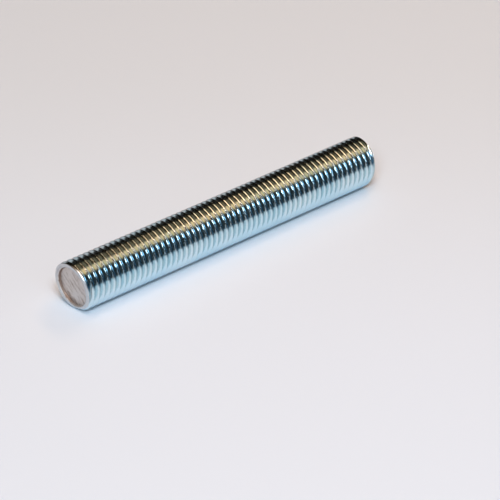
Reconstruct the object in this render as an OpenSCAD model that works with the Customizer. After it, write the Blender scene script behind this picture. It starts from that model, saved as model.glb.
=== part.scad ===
// Short metric threaded rod, screwed along its whole length and lying on its side.
// It is one solid piece of round bar. X runs along the rod, +Z is up, and the surface it
// lies on is z = 0.
// The bar is drawn at the outside diameter of its thread, and the fine thread itself belongs
// to the finished look. The front end (-X) has a rounded lip round a shallow cup, left by
// thread rolling. The back end (+X) is flat, with a chamfer down to the root of the thread.
// Neither end is cut quite square: both lean, and both run furthest out on the same side.
// Sizes are in millimetres and angles in degrees.

/* [Rod] */

// diameter over the crests of the thread
rod_d = 16; // [8:0.5:30]
// overall length, along the side that runs furthest out
rod_l = 118; // [20:1:500]
// way round the rod, from +Y towards +Z, of the side that runs furthest out
lean_turn = 50; // [0:5:355]

/* [Thread] */

// distance along the rod from one crest of the thread to the next
thread_pitch = 2; // [0.5:0.25:3.5]

/* [Front end] */

// how far the front end leans from square
front_lean = 4; // [0:0.5:8]
// width of the lip across its top, from the cup to the side of the rod
lip_w = 1.6; // [1.1:0.1:3]
// radius of the lip's outer shoulder
lip_shoulder_r = 0.5; // [0.2:0.1:0.9]
// radius of the lip's inner edge
lip_edge_r = 0.3; // [0.1:0.1:0.6]
// depth of the cup below the top of the lip
cup_depth = 1; // [0.8:0.1:4]
// radius of the corner between the cup's wall and its floor
cup_corner_r = 0.2; // [0.05:0.05:0.5]

/* [Back end] */

// how far the back end leans from square
back_lean = 6.5; // [0:0.5:8]
// length of the chamfer along the rod
chamfer_l = 0.8; // [0.2:0.1:3]

/* [View] */

// which piece to draw

/* [Hidden] */

$fn = 96;
// bright zinc plate with a faint blue cast
zinc = [0.74, 0.79, 0.82];
// a 60 degree metric thread is this many pitches deep
depth_per_pitch = 0.6134;
// the shoulder is turned to just outside the bar, so that the two cross cleanly
clear = 0.02;
rod_r = rod_d / 2;
thread_depth = depth_per_pitch * thread_pitch;
root_r = rod_r - thread_depth;
cup_r = rod_r - lip_w;
// radius of the circle on which the lip's outer shoulder turns
shoulder_at = rod_r / cos(front_lean) + clear - lip_shoulder_r;
// where the axis of each end crosses the axis of the bar: level with the front shoulder's circle,
// and at the back face
front_x = shoulder_at * sin(front_lean) + lip_shoulder_r - rod_l / 2;
back_x = rod_l / 2 - root_r * sin(back_lean);
// the bar starts this much too long, and the cutting shapes reach as far past each face
reach = rod_d;

// Each outline below is half of a section through the middle of an end: x is the distance from
// that end's axis, and y the distance behind its face.

// Everything in front of the face and outside the lip's shoulder.
module shoulder_outline() {
    translate([0, -reach])
        square([shoulder_at, reach]);
    difference() {
        translate([shoulder_at, -reach])
            square([lip_shoulder_r + reach, reach + lip_shoulder_r]);
        translate([shoulder_at, lip_shoulder_r])
            circle(r = lip_shoulder_r);
    }
}

// Hollow of the cup, with a round corner at its floor.
module cup_outline() {
    translate([0, -reach])
        square([cup_r, reach + cup_depth - cup_corner_r]);
    square([cup_r - cup_corner_r, cup_depth]);
    translate([cup_r - cup_corner_r, cup_depth - cup_corner_r])
        circle(r = cup_corner_r);
}

// Sliver taken off the lip's inner edge to round it.
module edge_outline() {
    difference() {
        translate([cup_r, -reach])
            square([lip_edge_r, reach + lip_edge_r]);
        translate([cup_r + lip_edge_r, lip_edge_r])
            circle(r = lip_edge_r);
    }
}

// Everything beyond the back face and outside its chamfer.
module chamfer_outline() {
    polygon([
        [0, 0],
        [root_r, 0],
        [root_r + 2 * thread_depth, 2 * chamfer_l],
        [root_r + 2 * thread_depth, -reach],
        [0, -reach]
    ]);
}

// What the front end loses: all that lies outside its lip, and the cup.
module front_cut() {
    translate([front_x, 0, 0])
        rotate([lean_turn, 0, 0])
            rotate([0, 0, front_lean])
                rotate([0, 90, 0])
                    translate([0, 0, -lip_shoulder_r])
                        rotate_extrude() {
                            shoulder_outline();
                            cup_outline();
                            edge_outline();
                        }
}

// What the back end loses.
module back_cut() {
    translate([back_x, 0, 0])
        rotate([lean_turn, 0, 0])
            rotate([0, 0, -back_lean])
                rotate([0, -90, 0])
                    rotate_extrude()
                        chamfer_outline();
}

module threaded_rod() {
    color(zinc)
        translate([0, 0, rod_r])
            difference() {
                rotate([0, 90, 0])
                    cylinder(r = rod_r, h = rod_l + reach, center = true);
                front_cut();
                back_cut();
            }
}

threaded_rod();
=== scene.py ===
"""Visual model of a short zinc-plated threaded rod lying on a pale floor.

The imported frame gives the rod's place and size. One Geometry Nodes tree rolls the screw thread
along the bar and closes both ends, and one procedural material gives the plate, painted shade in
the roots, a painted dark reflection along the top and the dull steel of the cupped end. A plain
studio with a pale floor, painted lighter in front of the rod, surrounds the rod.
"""

from __future__ import annotations

import logging
import math
from dataclasses import dataclass, field
from enum import Enum
from typing import Any, Sequence, Union

import bpy
from mathutils import Matrix, Vector


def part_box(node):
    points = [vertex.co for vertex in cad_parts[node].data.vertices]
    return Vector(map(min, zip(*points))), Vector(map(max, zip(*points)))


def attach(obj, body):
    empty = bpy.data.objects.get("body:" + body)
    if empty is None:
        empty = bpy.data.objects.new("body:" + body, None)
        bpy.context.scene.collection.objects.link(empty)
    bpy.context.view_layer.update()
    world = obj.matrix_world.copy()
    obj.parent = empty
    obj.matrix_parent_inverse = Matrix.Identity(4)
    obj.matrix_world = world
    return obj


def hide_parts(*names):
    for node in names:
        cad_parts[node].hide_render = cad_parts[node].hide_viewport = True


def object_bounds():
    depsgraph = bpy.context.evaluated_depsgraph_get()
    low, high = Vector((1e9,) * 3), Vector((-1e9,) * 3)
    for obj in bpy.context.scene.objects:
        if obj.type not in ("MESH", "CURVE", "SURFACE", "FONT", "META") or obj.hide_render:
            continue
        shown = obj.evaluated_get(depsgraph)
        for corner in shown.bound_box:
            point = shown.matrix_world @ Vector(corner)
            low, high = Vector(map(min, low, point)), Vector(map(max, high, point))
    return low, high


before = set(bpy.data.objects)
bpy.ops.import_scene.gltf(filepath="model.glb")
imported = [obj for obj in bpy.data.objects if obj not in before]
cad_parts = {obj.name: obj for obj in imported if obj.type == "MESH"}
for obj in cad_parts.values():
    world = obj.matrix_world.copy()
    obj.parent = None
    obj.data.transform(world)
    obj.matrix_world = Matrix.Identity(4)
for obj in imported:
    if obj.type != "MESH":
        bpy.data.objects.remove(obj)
CAD_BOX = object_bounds()

LOG = logging.getLogger("threaded_rod")
MM = 0.001

Colour = tuple[float, float, float]
Point = tuple[float, float, float]
Range = tuple[float, float]
Number = Union[int, float, "Signal"]


class ThreadHand(Enum):
    """Which way the thread winds round +X."""

    RIGHT = 1
    LEFT = -1


# --- Node expressions -------------------------------------------------------------------------


class Signal:
    """A node socket that can be used in ordinary arithmetic."""

    def __init__(self, graph: "Graph", socket: bpy.types.NodeSocket) -> None:
        """Wraps a socket.

        Args:
            graph: the graph that adds the nodes for each operation.
            socket: the output socket that carries the value.
        """
        self.graph = graph
        self.socket = socket

    def __add__(self, other: Number) -> "Signal":
        """self + other."""
        return self.graph.math("ADD", self, other)

    def __radd__(self, other: Number) -> "Signal":
        """other + self."""
        return self.graph.math("ADD", other, self)

    def __sub__(self, other: Number) -> "Signal":
        """self - other."""
        return self.graph.math("SUBTRACT", self, other)

    def __rsub__(self, other: Number) -> "Signal":
        """other - self."""
        return self.graph.math("SUBTRACT", other, self)

    def __mul__(self, other: Number) -> "Signal":
        """self * other."""
        return self.graph.math("MULTIPLY", self, other)

    def __rmul__(self, other: Number) -> "Signal":
        """other * self."""
        return self.graph.math("MULTIPLY", other, self)

    def __truediv__(self, other: Number) -> "Signal":
        """self / other."""
        return self.graph.math("DIVIDE", self, other)

    def __abs__(self) -> "Signal":
        """Size of the value without its sign."""
        return self.graph.math("ABSOLUTE", self)


class Graph:
    """Adds nodes to a node tree, with one method for every kind of node."""

    def __init__(self, tree: bpy.types.NodeTree) -> None:
        """Wraps a node tree.

        Args:
            tree: the shader or geometry tree that takes the nodes.
        """
        self.tree = tree

    def feed(self, socket: bpy.types.NodeSocket, value: Any) -> None:
        """Links a signal or socket to a socket, or sets a plain value on it.

        Args:
            socket: the input socket.
            value: a Signal, an output socket, or a value that the socket takes.
        """
        if isinstance(value, Signal):
            value = value.socket
        if isinstance(value, bpy.types.NodeSocket):
            self.tree.links.new(value, socket)
        else:
            socket.default_value = value

    def node(
        self,
        kind: str,
        settings: dict[str, Any] | None = None,
        inputs: dict[int | str, Any] | None = None,
    ) -> bpy.types.Node:
        """Adds one node.

        Args:
            kind: the node's type, such as "ShaderNodeTexNoise".
            settings: the node's own properties, which are set first.
            inputs: values or links, by socket name or number.

        Returns:
            The new node.
        """
        made = self.tree.nodes.new(kind)
        for name, value in (settings or {}).items():
            setattr(made, name, value)
        for name, value in (inputs or {}).items():
            self.feed(made.inputs[name], value)
        return made

    def signal(self, node: bpy.types.Node, output: int | str = 0) -> Signal:
        """One output of a node, as a signal."""
        return Signal(self, node.outputs[output])

    def math(self, operation: str, *values: Number) -> Signal:
        """A Math node on one, two or three values."""
        return self.signal(
            self.node("ShaderNodeMath", {"operation": operation}, dict(enumerate(values)))
        )

    def least(self, a: Number, b: Number, blend: float = 0.0) -> Signal:
        """The smaller of two values.

        Args:
            a: one value.
            b: the other value.
            blend: how wide the round join between them is, or 0 for none.

        Returns:
            The smaller value.
        """
        if blend > 0:
            return self.math("SMOOTH_MIN", a, b, blend)
        return self.math("MINIMUM", a, b)

    def most(self, a: Number, b: Number, blend: float = 0.0) -> Signal:
        """The larger of two values.

        Args:
            a: one value.
            b: the other value.
            blend: how wide the round join between them is, or 0 for none.

        Returns:
            The larger value.
        """
        if blend > 0:
            return self.math("SMOOTH_MAX", a, b, blend)
        return self.math("MAXIMUM", a, b)

    def ease(self, value: Number, low: float, high: float) -> Signal:
        """A smooth step from 0 to 1.

        Args:
            value: the value that drives the step.
            low: where the step is 0. It may lie above high.
            high: where the step is 1.

        Returns:
            The step.
        """
        span = self.node(
            "ShaderNodeMapRange",
            {"interpolation_type": "SMOOTHSTEP"},
            {"Value": value, "From Min": low, "From Max": high},
        )
        return self.signal(span)

    def join(self, x: Number, y: Number, z: Number) -> bpy.types.NodeSocket:
        """A vector made of three values."""
        return self.node("ShaderNodeCombineXYZ", None, {0: x, 1: y, 2: z}).outputs[0]

    def split(self, vector: bpy.types.NodeSocket) -> tuple[Signal, Signal, Signal]:
        """The three parts of a vector."""
        parts = self.node("ShaderNodeSeparateXYZ", None, {0: vector})
        return self.signal(parts, 0), self.signal(parts, 1), self.signal(parts, 2)

    def noise(
        self,
        vector: bpy.types.NodeSocket,
        scale: float,
        detail: float = 2.0,
        roughness: float = 0.5,
        distortion: float = 0.0,
    ) -> Signal:
        """Noise from 0 to 1, about 0.5, over a vector.

        Args:
            vector: the place that the noise is read at.
            scale: how many lumps lie along one unit.
            detail: how many finer layers are added.
            roughness: how strong each finer layer is.
            distortion: how far the lumps are stirred.

        Returns:
            The noise.
        """
        texture = self.node(
            "ShaderNodeTexNoise",
            {"noise_dimensions": "3D"},
            {
                "Vector": vector,
                "Scale": scale,
                "Detail": detail,
                "Roughness": roughness,
                "Distortion": distortion,
            },
        )
        return self.signal(texture, 0)

    def blend(self, factor: Number, a: Any, b: Any) -> bpy.types.NodeSocket:
        """A colour that goes from a to b as the factor goes from 0 to 1.

        Args:
            factor: how much of b shows.
            a: a colour or a colour socket.
            b: a colour or a colour socket.

        Returns:
            The colour socket.
        """
        mixer = self.node(
            "ShaderNodeMix",
            {"data_type": "RGBA", "blend_type": "MIX", "clamp_factor": True},
            {0: factor},
        )
        for number, colour in ((6, a), (7, b)):
            plain = isinstance(colour, tuple)
            self.feed(mixer.inputs[number], (*colour, 1.0) if plain else colour)
        return mixer.outputs[2]


class GeometryGraph(Graph):
    """A Geometry Nodes tree with named inputs that can be set on a modifier."""

    def __init__(self, name: str) -> None:
        """Starts an empty tree.

        Args:
            name: the tree's name.
        """
        super().__init__(bpy.data.node_groups.new(name, "GeometryNodeTree"))
        self.tree.interface.new_socket(
            name="Geometry", in_out="OUTPUT", socket_type="NodeSocketGeometry"
        )
        self.inlet = self.tree.nodes.new("NodeGroupInput")
        self.settings: dict[str, Any] = {}

    def size(self, name: str, value: float) -> Signal:
        """Adds a named number input and remembers the value it is to have.

        Args:
            name: the input's name.
            value: what the modifier sets it to.

        Returns:
            The input as a signal.
        """
        socket = self.tree.interface.new_socket(
            name=name, in_out="INPUT", socket_type="NodeSocketFloat"
        )
        self.settings[socket.identifier] = float(value)
        return Signal(self, self.inlet.outputs[name])

    def choose(self, index: Signal, values: Sequence[Number]) -> Signal:
        """Picks one value of a short list by its place in it.

        Args:
            index: the place, counted from 0.
            values: the values to pick from.

        Returns:
            The picked value.
        """
        switch = self.node("GeometryNodeIndexSwitch", {"data_type": "FLOAT"})
        while len(switch.index_switch_items) < len(values):
            switch.index_switch_items.new()
        whole = self.node("FunctionNodeFloatToInt", {"rounding_mode": "ROUND"}, {0: index})
        self.feed(switch.inputs[0], whole.outputs[0])
        for number, value in enumerate(values):
            self.feed(switch.inputs[number + 1], value)
        return self.signal(switch)

    def lattice(self, columns: int, rows: int) -> tuple[bpy.types.NodeSocket, Signal, Signal]:
        """A flat grid whose points know their column and row.

        Args:
            columns: how many points lie along the first direction.
            rows: how many points lie along the second.

        Returns:
            The grid's geometry, and the column and row numbers as signals.
        """
        grid = self.node(
            "GeometryNodeMeshGrid",
            None,
            {
                "Size X": columns - 1.0,
                "Size Y": rows - 1.0,
                "Vertices X": columns,
                "Vertices Y": rows,
            },
        )
        place = self.node("GeometryNodeInputPosition")
        across, along, _ = self.split(place.outputs[0])
        column = self.math("ROUND", across + (columns - 1) / 2)
        row = self.math("ROUND", along + (rows - 1) / 2)
        return grid.outputs["Mesh"], column, row

    def place(
        self, geometry: bpy.types.NodeSocket, x: Number, y: Number, z: Number
    ) -> bpy.types.NodeSocket:
        """Moves each point of a geometry to a computed place."""
        return self.node(
            "GeometryNodeSetPosition", None, {"Geometry": geometry, "Position": self.join(x, y, z)}
        ).outputs[0]

    def finish(self, geometries: Sequence[bpy.types.NodeSocket], material: Any) -> None:
        """Joins geometries, closes their seams and ends the tree.

        Args:
            geometries: the geometries that make the piece.
            material: the material for all of it.
        """
        joined = self.node("GeometryNodeJoinGeometry")
        for geometry in geometries:
            self.tree.links.new(geometry, joined.inputs[0])
        merged = self.node(
            "GeometryNodeMergeByDistance", None, {"Geometry": joined.outputs[0], "Distance": 2e-6}
        )
        smooth = self.node("GeometryNodeSetShadeSmooth", None, {"Geometry": merged.outputs[0]})
        real = self.node("GeometryNodeRealizeInstances", None, {"Geometry": smooth.outputs[0]})
        dressed = self.node(
            "GeometryNodeSetMaterial",
            None,
            {"Geometry": real.outputs[0], "Material": material},
        )
        outlet = self.tree.nodes.new("NodeGroupOutput")
        self.tree.links.new(dressed.outputs[0], outlet.inputs[0])

    def bake(self, name: str) -> bpy.types.Object:
        """Runs the tree once and keeps its result as a plain mesh.

        Args:
            name: the new object's name.

        Returns:
            The object, at the origin, with no modifier.
        """
        piece = bpy.data.objects.new(name, bpy.data.meshes.new(name))
        bpy.context.scene.collection.objects.link(piece)
        modifier = piece.modifiers.new("build", "NODES")
        modifier.node_group = self.tree
        for identifier, value in self.settings.items():
            modifier[identifier] = value
        graph = bpy.context.evaluated_depsgraph_get()
        mesh = bpy.data.meshes.new_from_object(piece.evaluated_get(graph))
        piece.modifiers.remove(modifier)
        piece.data = mesh
        mesh.name = name
        return piece


# --- Finishes ---------------------------------------------------------------------------------


def principled(name: str) -> tuple[bpy.types.Material, Graph, bpy.types.Node]:
    """Starts a node material with one Principled shader.

    Args:
        name: the material's name.

    Returns:
        The material, its graph and the shader node.
    """
    material = bpy.data.materials.new(name)
    material.use_nodes = True
    graph = Graph(material.node_tree)
    return material, graph, material.node_tree.nodes["Principled BSDF"]


@dataclass(frozen=True)
class ZincPlate:
    """Bright zinc plate with a faint blue passivation, and bare steel in the cup.

    The ranges say where the painted shade fades in: heights are in millimetres above the rod's
    axis, and "edge_on" is the Facing value of a Layer Weight node. The plate has painted shade in
    its roots and a painted dark reflection along its top, and the cup's wall has painted shade on
    one side.
    """

    silver: Colour = (0.67, 0.81, 0.86)
    blue: Colour = (0.59, 0.77, 0.84)
    straw: Colour = (0.71, 0.82, 0.83)
    # painted shade colour for the thread's roots
    root_shade: Colour = (0.06, 0.15, 0.21)
    # painted dark reflection along the top, where the plate is seen edge-on
    grazing_shade: Colour = (0.16, 0.13, 0.11)
    lip: Colour = (0.60, 0.59, 0.60)
    steel: Colour = (0.63, 0.58, 0.55)
    # brown of the cup's stains, also used for the painted shade on its wall
    stain_and_shade: Colour = (0.24, 0.16, 0.12)
    gloss: float = 0.11
    shade_band_starts: Range = (0.3, 2.5)
    shade_band_ends: Range = (6.4, 5.2)
    edge_starts: Range = (2.0, 6.5)
    edge_on: Range = (0.40, 0.75)
    bump_strength: float = 0.07
    bump_height: float = 0.01 * MM

    def build(self, rod: "ThreadedRod") -> bpy.types.Material:
        """Makes the material for a rod of given sizes.

        Args:
            rod: the rod, whose sizes place the roots, the crests and the cup.

        Returns:
            The material.
        """
        material, g, shader = principled("zinc_plate")
        where = g.node("ShaderNodeTexCoord").outputs["Object"]
        metres_x, metres_y, metres_z = g.split(where)
        from_low = (metres_x - rod.front_x) / MM
        y = metres_y / MM
        z = (metres_z - rod.axis_z) / MM
        out = g.math("SQRT", y * y + z * z)
        turn = g.math("ARCTAN2", z, y) / math.tau
        back = (metres_x - rod.front_mid + rod.front_slope(metres_y, metres_z - rod.axis_z)) / MM
        wave = g.math("FRACT", from_low / (rod.pitch / MM) - rod.phase - rod.hand.value * turn)
        from_crest = 0.5 - abs(wave - 0.5)
        sunk = (rod.radius / MM - out) / (rod.depth / MM)

        # Broad drifts of tint along the rod, and a fine grain.
        broad = g.noise(g.join(back * 0.09, y * 0.12, z * 0.12), 1.0, 2.0)
        cloud = g.noise(g.join(back * 0.35, y * 0.5, z * 0.5), 1.0, 3.0, 0.6)
        grain = g.noise(g.join(back * 3.0, y * 3.0, z * 3.0), 1.0, 3.0, 0.7)
        rolled = g.noise(g.join(from_crest * 16.0, y * 0.4 + back * 0.3, z * 0.4), 1.0, 3.0, 0.6)

        plate = g.blend(g.ease(broad, 0.38, 0.62), self.silver, self.blue)
        plate = g.blend(g.ease(cloud, 0.52, 0.72) * 0.55, plate, self.straw)

        # Painted shade in the roots: a slight darkening all round, much stronger in a band on the
        # upper side, where it dims the glints.
        root = g.ease(sunk, 0.45, 0.85)
        shade_band = g.ease(z, *self.shade_band_starts) * g.ease(z, *self.shade_band_ends)
        root_shade_mix = root * (0.2 + 0.75 * shade_band)
        plate = g.blend(root_shade_mix, plate, self.root_shade)

        # Painted dark reflection: where it is seen edge-on along the top, the plate is painted
        # brown.
        facing = g.signal(g.node("ShaderNodeLayerWeight", None, {"Blend": 0.5}), "Facing")
        glancing = g.ease(facing, *self.edge_on) * g.ease(z, *self.edge_starts)
        plate = g.blend(glancing * 0.9, plate, self.grazing_shade)

        # The lip is duller than the flanks, and the cup is bare steel with brown stains.
        at_lip = g.ease(back, 0.75, 0.35)
        plate = g.blend(at_lip * 0.8, plate, self.lip)
        cup = rod.cup_r / MM
        in_cup = g.ease(out, cup + 0.3, cup + 0.05) * g.ease(back, 2.0, 1.6)
        along, across = rod.saw_axes(y, z)
        streak = g.noise(g.join(along * 0.16, across * 1.1, 0.0), 1.0, 4.0, 0.65, 0.3)
        patch = g.noise(g.join(along * 0.3, across * 0.55, 3.7), 1.0, 3.0, 0.6)
        stained = g.ease(streak * 0.6 + patch * 0.4, 0.47, 0.63)
        floor = g.blend(stained * 0.75, self.steel, self.stain_and_shade)
        # Painted shade on the cup's wall, strongest on one side, in the brown of the stains.
        wall = g.ease(out, cup - 0.4, cup - 0.1) * g.ease(back, 0.12, 0.4)
        shaded = g.ease(y - z * 0.15, -0.5, 3.5)
        floor = g.blend(wall * shaded * 0.9, floor, self.stain_and_shade)
        colour = g.blend(in_cup, plate, floor)

        rough = self.gloss + 0.04 * grain + 0.03 * cloud + 0.08 * root + 0.18 * at_lip
        rough = rough + in_cup * (0.22 + 0.12 * streak)
        g.feed(shader.inputs["Base Color"], colour)
        g.feed(shader.inputs["Roughness"], g.least(rough, 0.8))
        g.feed(shader.inputs["Metallic"], 1.0 - 0.25 * in_cup)

        height = rolled * 0.5 + grain * 0.25 + in_cup * (streak * 3.0)
        bump = g.node(
            "ShaderNodeBump",
            None,
            {"Strength": self.bump_strength, "Distance": self.bump_height, "Height": height},
        )
        g.feed(shader.inputs["Normal"], bump.outputs[0])
        return material


@dataclass(frozen=True)
class PaleFloor:
    """Matt off-white paper, painted a little cooler and lighter in front of the rod than behind it
    as a painted fall-off of light.

    The tint changes along a slanting direction, over the "change" range in metres.
    """

    front: Colour = (0.745, 0.78, 0.84)
    behind: Colour = (0.705, 0.725, 0.755)
    roughness: float = 0.7
    slant: float = 0.8
    change: Range = (-0.10, 0.16)

    def build(self) -> bpy.types.Material:
        """Makes the floor's material.

        Returns:
            The material.
        """
        material, g, shader = principled("pale_paper")
        where = g.node("ShaderNodeTexCoord").outputs["Object"]
        x, y, _ = g.split(where)
        # Painted light: lighter and cooler in front of the rod, darker behind.
        depth = g.ease(y + x * self.slant, *self.change)
        g.feed(shader.inputs["Base Color"], g.blend(depth, self.front, self.behind))
        g.feed(shader.inputs["Roughness"], self.roughness)
        return material


# --- The rod ----------------------------------------------------------------------------------


@dataclass
class ThreadedRod:
    """The threaded rod: a screw thread along a round bar, a lipped cup and a chamfered end.

    Lengths are in metres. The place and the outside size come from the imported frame. The crest's
    half width, its rounding, the root's rounding and the depth are shares of the pitch, as is the
    length over which the thread runs out. At the lip the thread has a small share of its depth,
    and more of it at one notch.
    """

    node: str = "threaded_rod"
    hand: ThreadHand = ThreadHand.LEFT
    pitch: float = 2.0 * MM
    phase: float = 0.84
    crest_half: float = 0.0625
    depth_in_pitches: float = 0.6134
    flank: float = math.radians(60)
    root_round: float = 0.2
    crest_round: float = 0.02
    lip_share: float = 0.08
    notch_share: float = 0.62
    notch_reach: float = 0.14
    run_out: float = 0.4
    stations: tuple[float, ...] = (
        0.0, 0.035, 0.06, 0.085, 0.115, 0.345, 0.405, 0.455,
        0.5, 0.545, 0.595, 0.655, 0.885, 0.915, 0.94, 0.965,
    )
    segments: int = 96
    lip_w: float = 1.6 * MM
    shoulder_r: float = 0.5 * MM
    edge_r: float = 0.3 * MM
    cup_depth: float = 1.0 * MM
    corner_r: float = 0.2 * MM
    ring_at: float = 0.15 * MM
    lip_flat: float = 0.1 * MM
    skin_gap: float = 0.15 * MM
    chamfer_l: float = 0.8 * MM
    front_lean: float = math.radians(4.0)
    back_lean: float = math.radians(6.5)
    lean_turn: float = math.radians(50.0)
    notch_turn: float = math.radians(254.65)
    front_x: float = field(init=False)
    back_x: float = field(init=False)
    axis_z: float = field(init=False)
    radius: float = field(init=False)
    depth: float = field(init=False)
    root_r: float = field(init=False)
    cup_r: float = field(init=False)
    front_mid: float = field(init=False)
    back_mid: float = field(init=False)

    def __post_init__(self) -> None:
        """Takes the bar's place and size from the frame."""
        low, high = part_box(self.node)
        self.front_x = low[0]
        self.back_x = high[0]
        self.axis_z = (low[2] + high[2]) / 2
        self.radius = (high[2] - low[2]) / 2
        self.depth = self.depth_in_pitches * self.pitch
        self.root_r = self.radius - self.depth
        self.cup_r = self.radius - self.lip_w
        self.front_mid = self.front_x + (self.radius - self.shoulder_r) * math.tan(self.front_lean)
        self.back_mid = self.back_x - self.root_r * math.tan(self.back_lean)

    def saw_axes(self, y: Signal, z: Signal) -> tuple[Signal, Signal]:
        """Coordinates along and across the marks in the cup's floor.

        Args:
            y: distance across the rod from its axis.
            z: height above its axis.

        Returns:
            The distance along the marks and the distance across them.
        """
        c, s = math.cos(self.lean_turn), math.sin(self.lean_turn)
        return y * c + z * s, z * c - y * s

    def front_slope(self, y: Signal, z: Signal) -> Signal:
        """How far the leaning front face runs out at a place across the rod."""
        slope = math.tan(self.front_lean)
        return y * (slope * math.cos(self.lean_turn)) + z * (slope * math.sin(self.lean_turn))

    def leaning(self, g: Graph, turn: Number) -> Signal:
        """How far a turn round the rod faces the side on which both ends run out: 1 to -1."""
        return g.math("COSINE", turn * math.tau - self.lean_turn)

    def thread_radius(
        self, g: GeometryGraph, s: dict[str, Signal], x: Signal, turn: Signal
    ) -> Signal:
        """Radius of the threaded skin at a place along and a turn round the rod.

        Args:
            g: the geometry tree.
            s: the tree's named sizes.
            x: the place along the rod.
            turn: the share of a full turn round it.

        Returns:
            The radius, with the thread faded into the lip and cut by the chamfer.
        """
        wave = g.math("FRACT", (x - s["Front"]) / s["Pitch"] - s["Phase"] - s["Hand"] * turn)
        from_crest = 0.5 - abs(wave - 0.5)
        flank = (from_crest - self.crest_half) * s["Pitch"] * math.tan(self.flank)
        cut = g.least(flank, s["Depth"], self.root_round * self.pitch)
        cut = g.most(cut, 0.0, self.crest_round * self.pitch)
        lean = self.leaning(g, turn)
        back = x - self.front_mid + s["Radius"] * math.tan(self.front_lean) * lean
        away = abs(g.math("FRACT", turn - self.notch_turn / math.tau + 0.5) - 0.5)
        open_here = self.lip_share + self.notch_share * g.ease(away, self.notch_reach, 0.0)
        share = open_here + (1.0 - open_here) * g.ease(back, 0.0, self.run_out * self.pitch)
        threaded = s["Radius"] - cut * share
        over = g.most(self.shoulder_r - back, 0.0)
        shoulder = s["Radius"] - self.shoulder_r + g.math(
            "SQRT", g.most(self.shoulder_r**2 - over * over, 0.0)
        )
        left = self.back_end(g, lean) - x
        chamfer = s["Radius"] - s["Depth"] + left * (s["Depth"] / self.chamfer_l)
        return g.least(g.least(threaded, shoulder), chamfer)

    def back_end(self, g: Graph, lean: Signal, share: Number = 1.0) -> Signal:
        """Where the flat back face lies at a share of its rim's radius."""
        return self.back_mid + self.root_r * math.tan(self.back_lean) * lean * share

    def cup_outline(self) -> list[tuple[float, float, float]]:
        """Half section of the front end, from the shoulder in to the middle of the cup.

        Returns:
            Each point's distance behind the lip's top, its radius, and 1 if that radius is
            counted in from the threaded skin or 0 if it is a plain radius.
        """
        points: list[tuple[float, float, float]] = []
        first = math.asin(1 - self.ring_at / self.shoulder_r)
        begin = self.shoulder_r * (1 - math.cos(first))
        for step in range(5):
            a = first + (math.pi / 2 - first) * step / 4
            inset = self.shoulder_r * (1 - math.cos(a)) - begin
            points.append((self.shoulder_r * (1 - math.sin(a)), inset, 1.0))
        rim = self.cup_r + self.edge_r
        points.append((0.0, rim + self.lip_flat, 0.0))
        for step in range(5):
            a = math.pi / 2 * step / 4
            points.append((self.edge_r * (1 - math.cos(a)), rim - self.edge_r * math.sin(a), 0.0))
        inner = self.cup_r - self.corner_r
        for step in range(4):
            a = math.pi / 2 * step / 3
            points.append(
                (
                    self.cup_depth - self.corner_r * (1 - math.sin(a)),
                    inner + self.corner_r * math.cos(a),
                    0.0,
                )
            )
        for share in (0.97, 0.85, 0.7, 0.55, 0.4, 0.25, 0.1, 0.0):
            points.append((self.cup_depth, inner * share, 0.0))
        return points

    def front_ring(
        self, g: GeometryGraph, s: dict[str, Signal], turn: Signal
    ) -> tuple[Signal, Signal]:
        """The ring where the skin meets the lip.

        Args:
            g: the geometry tree.
            s: the tree's named sizes.
            turn: the share of a full turn round the rod.

        Returns:
            The ring's place along the rod and its radius.
        """
        slant = math.tan(self.front_lean) * self.leaning(g, turn)
        start = self.front_mid + self.ring_at
        radius = self.thread_radius(g, s, start - s["Radius"] * slant, turn)
        return start - radius * slant, radius

    def skin(self, g: GeometryGraph, s: dict[str, Signal]) -> bpy.types.NodeSocket:
        """The threaded side of the bar, as a grid whose columns follow the helix.

        Args:
            g: the geometry tree.
            s: the tree's named sizes.

        Returns:
            The geometry.
        """
        per_pitch = len(self.stations)
        turns = math.ceil((self.back_x - self.front_x) / self.pitch) + 3
        mesh, column, row = g.lattice(turns * per_pitch + 1, self.segments + 1)
        turn = row / self.segments
        count = g.math("FLOOR", (column + 0.5) / per_pitch)
        share = g.choose(column - count * per_pitch, self.stations)
        x = s["Front"] + s["Pitch"] * (s["Phase"] + count + share - 2.0 + s["Hand"] * turn)
        ring_x, ring_radius = self.front_ring(g, s, turn)
        past_ring = g.math("GREATER_THAN", x, ring_x)
        x = g.least(g.most(x, ring_x), self.back_end(g, self.leaning(g, turn)))
        radius = ring_radius + past_ring * (self.thread_radius(g, s, x, turn) - ring_radius)
        return self.wrap(g, mesh, x, radius, turn)

    def front_cap(self, g: GeometryGraph, s: dict[str, Signal]) -> bpy.types.NodeSocket:
        """The lip and the cup, from the first ring of the skin to the middle.

        Args:
            g: the geometry tree.
            s: the tree's named sizes.

        Returns:
            The geometry.
        """
        outline = self.cup_outline()
        mesh, column, row = g.lattice(len(outline), self.segments + 1)
        turn = row / self.segments
        back = g.choose(column, [point[0] for point in outline])
        reach = g.choose(column, [point[1] for point in outline])
        hung = g.choose(column, [point[2] for point in outline])
        _, ring = self.front_ring(g, s, turn)
        rim = self.cup_r + self.edge_r
        from_skin = g.most(ring - reach, rim + self.skin_gap)
        radius = hung * from_skin + (1.0 - hung) * reach
        slant = math.tan(self.front_lean) * self.leaning(g, turn)
        x = self.front_mid + back - radius * slant
        return self.wrap(g, mesh, x, radius, turn, turned=True)

    def back_cap(self, g: GeometryGraph, s: dict[str, Signal]) -> bpy.types.NodeSocket:
        """The flat back face, from the last ring of the skin to the middle.

        Args:
            g: the geometry tree.
            s: the tree's named sizes.

        Returns:
            The geometry.
        """
        shares = (1.0, 0.99, 0.96, 0.8, 0.6, 0.4, 0.2, 0.0)
        mesh, column, row = g.lattice(len(shares), self.segments + 1)
        turn = row / self.segments
        share = g.choose(column, shares)
        lean = self.leaning(g, turn)
        ring = self.thread_radius(g, s, self.back_end(g, lean), turn)
        return self.wrap(g, mesh, self.back_end(g, lean, share), ring * share, turn)

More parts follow.
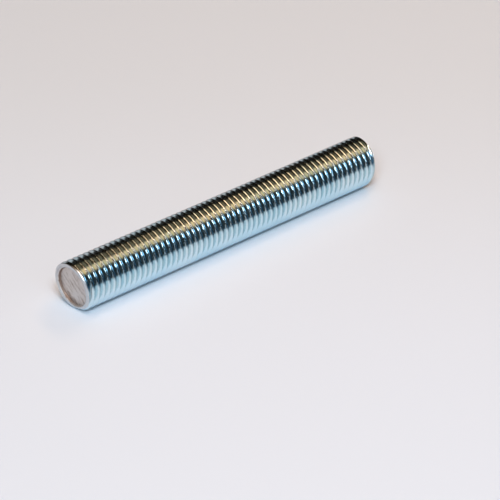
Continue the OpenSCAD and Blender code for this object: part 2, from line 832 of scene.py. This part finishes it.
    def wrap(
        self,
        g: GeometryGraph,
        mesh: bpy.types.NodeSocket,
        x: Signal,
        radius: Signal,
        turn: Signal,
        turned: bool = False,
    ) -> bpy.types.NodeSocket:
        """Lays a grid round the rod's axis.

        Args:
            g: the geometry tree.
            mesh: the grid.
            x: each point's place along the rod.
            radius: its distance from the axis.
            turn: its share of a full turn.
            turned: True if the columns run towards the front.

        Returns:
            The geometry, with its faces pointing outwards.
        """
        angle = turn * math.tau
        y = radius * g.math("COSINE", angle)
        z = self.axis_z + radius * g.math("SINE", angle)
        placed = g.place(mesh, x, y, z)
        if turned:
            return placed
        return g.node("GeometryNodeFlipFaces", None, {0: placed}).outputs[0]

    def build(self, finish: ZincPlate) -> bpy.types.Object:
        """Makes the rod, dresses it and ties it to the frame.

        Args:
            finish: the plate that covers it.

        Returns:
            The finished piece.
        """
        g = GeometryGraph("screw_thread")
        s = {
            "Front": g.size("Front", self.front_x),
            "Radius": g.size("Radius", self.radius),
            "Pitch": g.size("Pitch", self.pitch),
            "Depth": g.size("Depth", self.depth),
            "Phase": g.size("Phase", self.phase),
            "Hand": g.size("Hand", self.hand.value),
        }
        parts = [self.skin(g, s), self.front_cap(g, s), self.back_cap(g, s)]
        g.finish(parts, finish.build(self))
        piece = g.bake("screw_thread_rod")
        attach(piece, "root")
        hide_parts(self.node)
        return piece


# --- The studio -------------------------------------------------------------------------------


@dataclass(frozen=True)
class SoftBox:
    """A soft area lamp that points at the rod.

    Both angles are in degrees. "rise" turns round the rod, from the floor in front at 0 to
    straight above at 90, and "lean" tips the lamp from there towards the rod's back end.
    """

    name: str
    lean: float
    rise: float
    distance: float
    length: float
    width: float
    power: float
    colour: Colour

    def build(self, target: Vector) -> bpy.types.Object:
        """Hangs the lamp, with its length along the rod.

        Args:
            target: the point that it faces.

        Returns:
            The lamp object.
        """
        lamp = bpy.data.lights.new(self.name, "AREA")
        lamp.shape = "RECTANGLE"
        lamp.size = self.length
        lamp.size_y = self.width
        lamp.energy = self.power
        lamp.color = self.colour
        made = bpy.data.objects.new(self.name, lamp)
        bpy.context.scene.collection.objects.link(made)
        lean, rise = math.radians(self.lean), math.radians(self.rise)
        ahead, up = -math.cos(rise), math.sin(rise)
        away = Vector((math.sin(lean), math.cos(lean) * ahead, math.cos(lean) * up))
        along = Vector((math.cos(lean), -math.sin(lean) * ahead, -math.sin(lean) * up))
        made.location = target + away * self.distance
        axes = Matrix((along, away.cross(along), away)).transposed()
        made.rotation_euler = axes.to_euler()
        made.visible_camera = False
        return made


@dataclass(frozen=True)
class Camera:
    """A long lens that looks down at the rod from its front left."""

    place: Point = (-0.51377, -0.62227, 0.50315)
    azimuth: float = -40.17
    elevation: float = 32.07
    lens: float = 219.8
    sensor: float = 36.0
    shift: Range = (-0.0005, -0.0002)

    def build(self) -> bpy.types.Object:
        """Makes the scene's camera.

        Returns:
            The camera object.
        """
        data = bpy.data.cameras.new("camera")
        data.lens = self.lens
        data.sensor_width = self.sensor
        data.shift_x, data.shift_y = self.shift
        data.clip_start = 0.01
        data.clip_end = 20.0
        made = bpy.data.objects.new("camera", data)
        bpy.context.scene.collection.objects.link(made)
        made.location = self.place
        made.rotation_euler = (
            math.radians(90 - self.elevation),
            0.0,
            math.radians(self.azimuth),
        )
        bpy.context.scene.camera = made
        return made


@dataclass
class Studio:
    """Pale floor, soft lamps, dark room and camera."""

    floor: PaleFloor = field(default_factory=PaleFloor)
    camera: Camera = field(default_factory=Camera)
    room: Colour = (0.009, 0.007, 0.005)
    span: float = 1.5
    lamps: tuple[SoftBox, ...] = (
        SoftBox("cool_key", -27.0, 52.5, 2.5, 1.50, 0.60, 60.0, (0.74, 0.88, 1.0)),
        SoftBox("cool_front", -5.6, 24.9, 1.0, 0.126, 0.693, 0.76, (0.663, 0.815, 1.0)),
        SoftBox("cool_far", 39.4, 31.0, 1.0, 0.080, 0.175, 0.30, (0.70, 0.87, 1.0)),
        SoftBox("pale_top", -15.0, 76.4, 1.0, 0.168, 0.658, 3.3, (1.0, 0.80, 0.66)),
        SoftBox("warm_top", 11.6, 84.7, 1.0, 0.462, 0.499, 1.1, (1.0, 0.52, 0.23)),
        SoftBox("amber_wide", 4.4, 102.4, 1.0, 0.285, 1.40, 0.5, (1.0, 0.54, 0.24)),
        SoftBox("warm_back", 35.0, 107.1, 1.0, 0.143, 0.685, 1.8, (1.0, 0.65, 0.38)),
    )

    def build(self) -> None:
        """Sets the stage round the rod."""
        reach = self.span
        mesh = bpy.data.meshes.new("floor")
        corners = [(-reach, -reach, 0), (reach, -reach, 0), (reach, reach, 0), (-reach, reach, 0)]
        mesh.from_pydata(corners, [], [(0, 1, 2, 3)])
        mesh.materials.append(self.floor.build())
        ground = bpy.data.objects.new("floor", mesh)
        bpy.context.scene.collection.objects.link(ground)
        middle = (Vector(CAD_BOX[0]) + Vector(CAD_BOX[1])) / 2
        for lamp in self.lamps:
            lamp.build(middle)
        world = bpy.data.worlds.new("room")
        world.use_nodes = True
        world.node_tree.nodes["Background"].inputs["Color"].default_value = (*self.room, 1.0)
        bpy.context.scene.world = world
        self.camera.build()
        bpy.context.scene.view_settings.view_transform = "Standard"
        LOG.info("studio: %d lamps round a floor %.1f m across", len(self.lamps), 2 * reach)


def main() -> None:
    """Builds the rod and its studio, and reports each piece."""
    logging.basicConfig(level=logging.INFO, format="%(name)s: %(message)s")
    rod = ThreadedRod()
    piece = rod.build(ZincPlate())
    mesh = piece.data
    mesh.calc_loop_triangles()
    LOG.info(
        "%s: %d points, %d triangles, %s-hand thread",
        piece.name,
        len(mesh.vertices),
        len(mesh.loop_triangles),
        rod.hand.name.lower(),
    )
    Studio().build()


if __name__ == "__main__":
    main()
